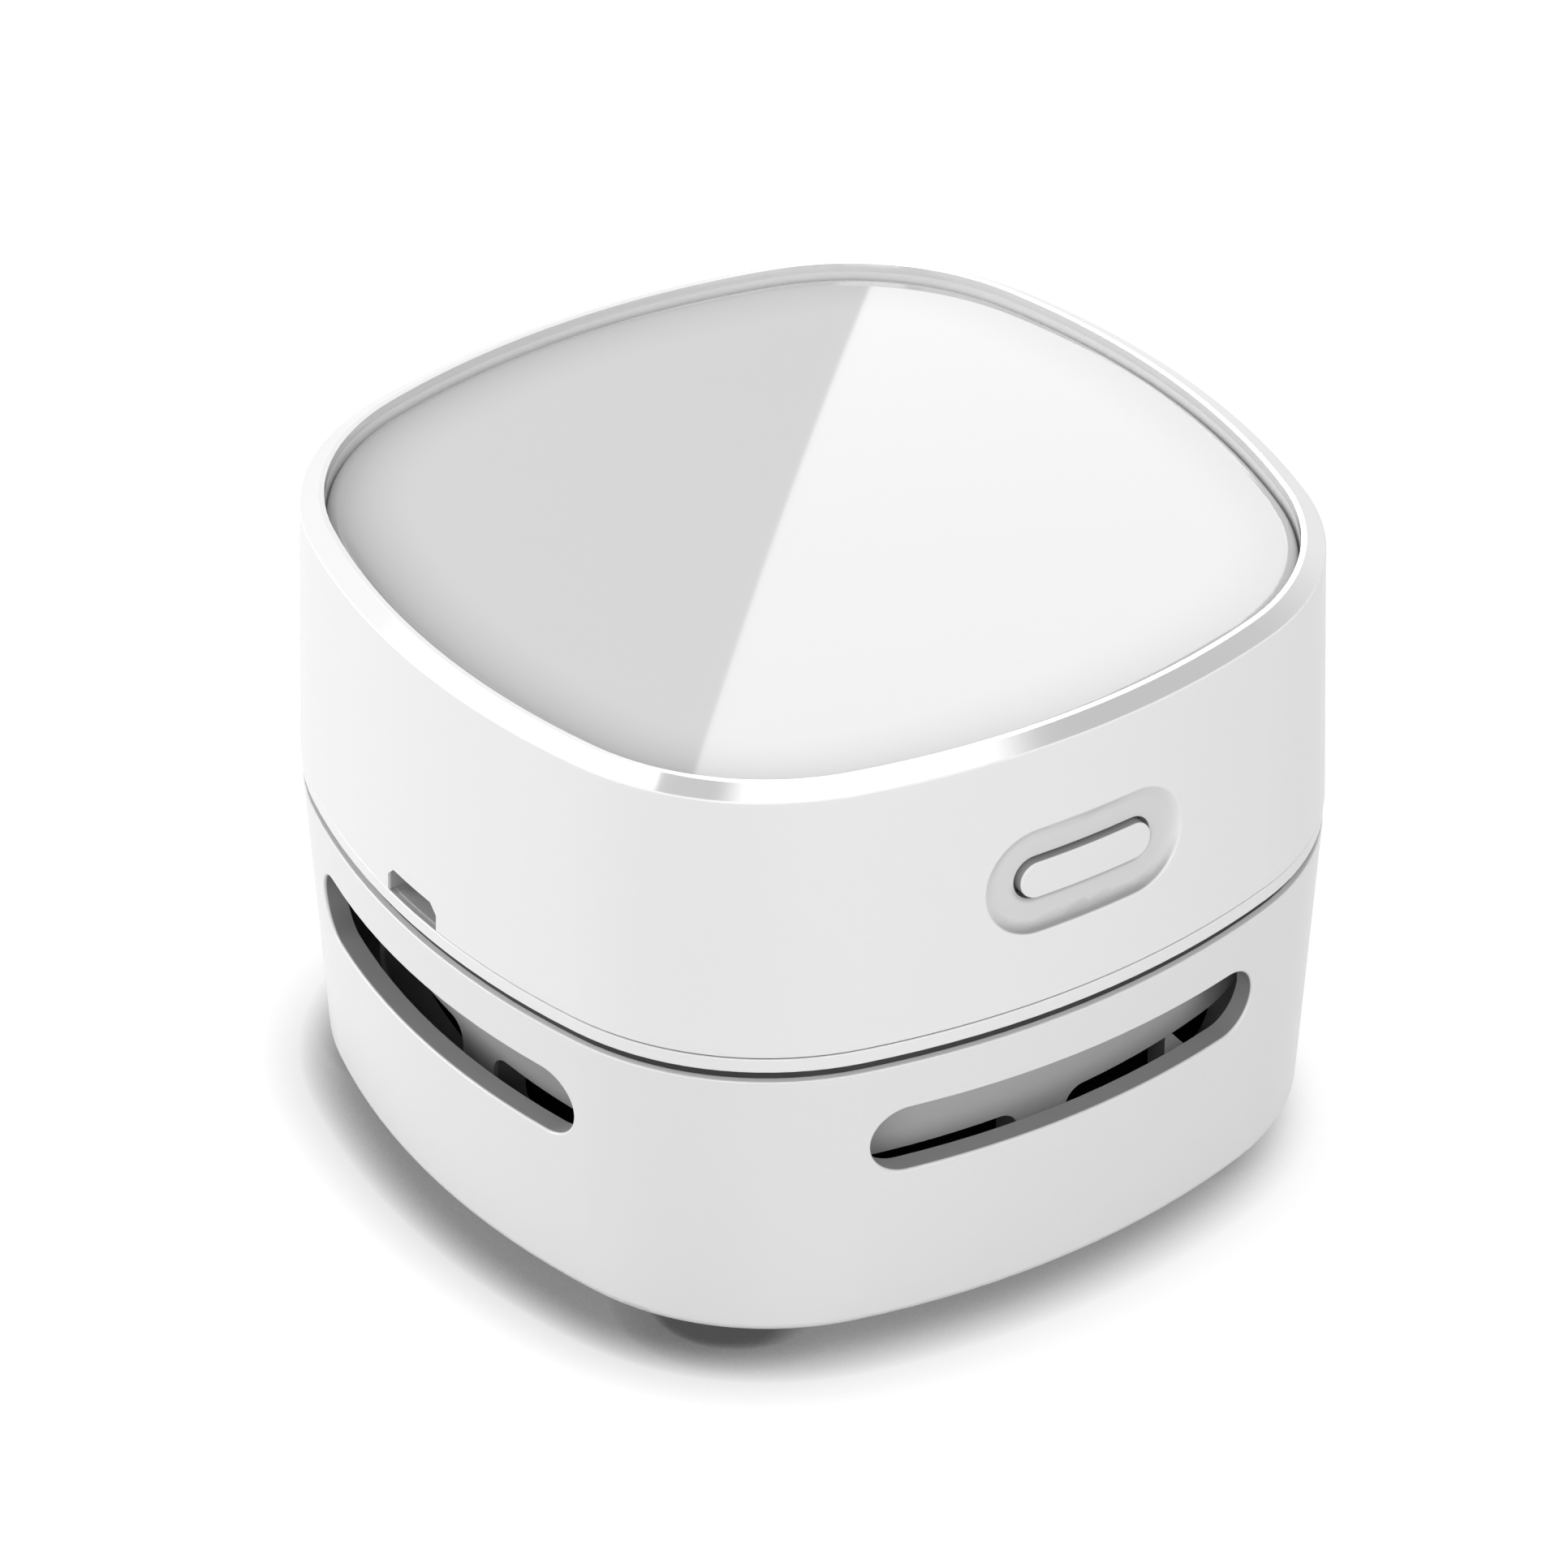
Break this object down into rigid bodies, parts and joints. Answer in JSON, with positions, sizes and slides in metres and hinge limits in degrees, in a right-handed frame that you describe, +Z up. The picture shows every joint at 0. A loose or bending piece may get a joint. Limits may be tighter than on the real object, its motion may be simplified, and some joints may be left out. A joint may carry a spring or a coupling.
{
  "type": "desktop vacuum cleaner",
  "caption": "Small square desktop vacuum cleaner with bulging sides, exhaust slots round a dust cage, a lift-off motor unit with a recessed push button, and brushes beneath.",
  "frame": {"origin": "on the table, under the middle of the case's footprint", "axes": "+Z up along the fan's axis, -Y the side with the power button, -X the side with the charging socket"},
  "size_m": [0.0829, 0.083, 0.0591],
  "materials": {
    "case_white": "satin moulded ABS",
    "panel_white": "gloss moulded",
    "cage_grey": "matte moulded",
    "duct_black": "matte moulded",
    "chassis_grey": "matte moulded",
    "filter_mesh": "woven nylon mesh",
    "brush_nylon": "nylon bristle",
    "rubber_grey": "matte",
    "screw_steel": "zinc plated",
    "seal_rubber": "matte",
    "gasket_foam": "closed-cell foam",
    "motor_steel": "drawn steel",
    "bush_brass": "sintered",
    "cap_black": "matte moulded",
    "fan_white": "matte moulded",
    "battery_wrap": "shrink sleeve",
    "nickel": "nickel plated",
    "board_green": "solder mask",
    "chip_black": "moulded packages",
    "button_grey": "satin moulded"
  },
  "bodies": {
    "dust_box": {"lower_shell": "case_white", "dust_cage": "cage_grey", "filter_mesh": "filter_mesh", "intake_duct": "duct_black", "nozzle_plate": "cage_grey", "brush_front": "brush_nylon", "brush_rear": "brush_nylon", "nozzle_screws": "screw_steel", "cage_screws": "screw_steel", "rubber_feet": "rubber_grey"},
    "motor_unit": {"upper_shell": "case_white", "top_panel": "panel_white", "chassis": "case_white", "motor_well": "chassis_grey", "fan_spacers": "chassis_grey", "switch_bracket": "chassis_grey", "battery_cradle": "chassis_grey", "case_seal": "seal_rubber", "cage_gasket": "gasket_foam", "case_screws": "screw_steel", "motor_can": "motor_steel", "motor_bush": "bush_brass", "motor_end_cap": "cap_black", "motor_damper": "gasket_foam", "motor_screws": "screw_steel", "fan_cover": "duct_black", "fan_cover_screws": "screw_steel", "battery": "battery_wrap", "battery_tabs": "nickel", "main_board": "board_green", "board_parts": "chip_black", "board_screws": "screw_steel", "usb_socket": "nickel", "switch_board": "board_green", "tact_switch": "cap_black"},
    "button": {"power_button": "button_grey", "switch_plunger": "chip_black"},
    "fan": {"motor_shaft": "screw_steel", "impeller": "fan_white"}
  },
  "joints": [
    {"name": "lift_off", "type": "slide", "parent": "dust_box", "child": "motor_unit", "axis": [0, 0, 1], "range_m": [0, 0.04]},
    {"name": "button_press", "type": "slide", "parent": "motor_unit", "child": "button", "axis": [0, 1, 0], "range_m": [0, 0.0008], "stiffness_N_per_m": 1500},
    {"name": "fan_spin", "type": "hinge", "parent": "motor_unit", "child": "fan", "pos_m": [0, 0, 0.02], "axis": [0, 0, 1], "continuous": true}
  ]
}
